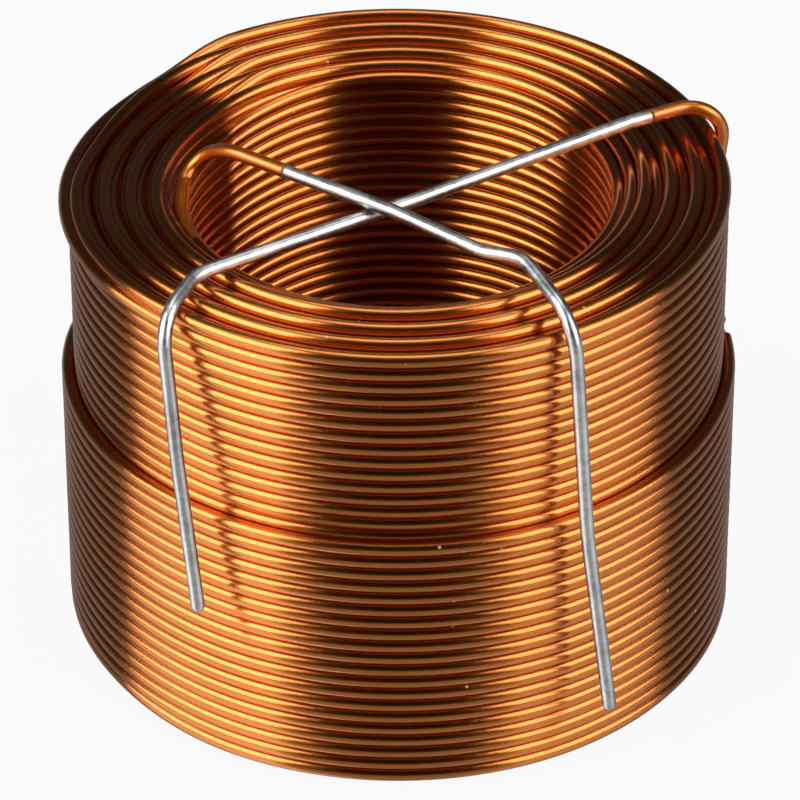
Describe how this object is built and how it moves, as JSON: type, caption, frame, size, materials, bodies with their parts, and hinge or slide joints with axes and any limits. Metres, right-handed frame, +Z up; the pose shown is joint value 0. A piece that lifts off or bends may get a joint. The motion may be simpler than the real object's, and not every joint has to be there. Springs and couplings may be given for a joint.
{
  "type": "air core inductor",
  "caption": "Free-standing air core inductor wound from self-bonding enamelled copper wire, with both tinned ends crossed over the bore and hanging down in front.",
  "frame": {"origin": "middle of the coil's base, on the coil's axis", "axes": "+Z up along the coil's axis; -Y is the front, where the two leads hang; +X is the side where the finish lead rises"},
  "size_m": [0.047, 0.047, 0.0381],
  "materials": {
    "enamelled_wire": "copper wire under clear amber enamel and a bonding coat, glossy",
    "tinned_wire": "copper wire dipped in solder, bright along the top and satin on the hanging ends"
  },
  "bodies": {
    "root": {"winding": "enamelled_wire", "start_lead": "tinned_wire", "finish_lead": "tinned_wire"}
  },
  "joints": []
}
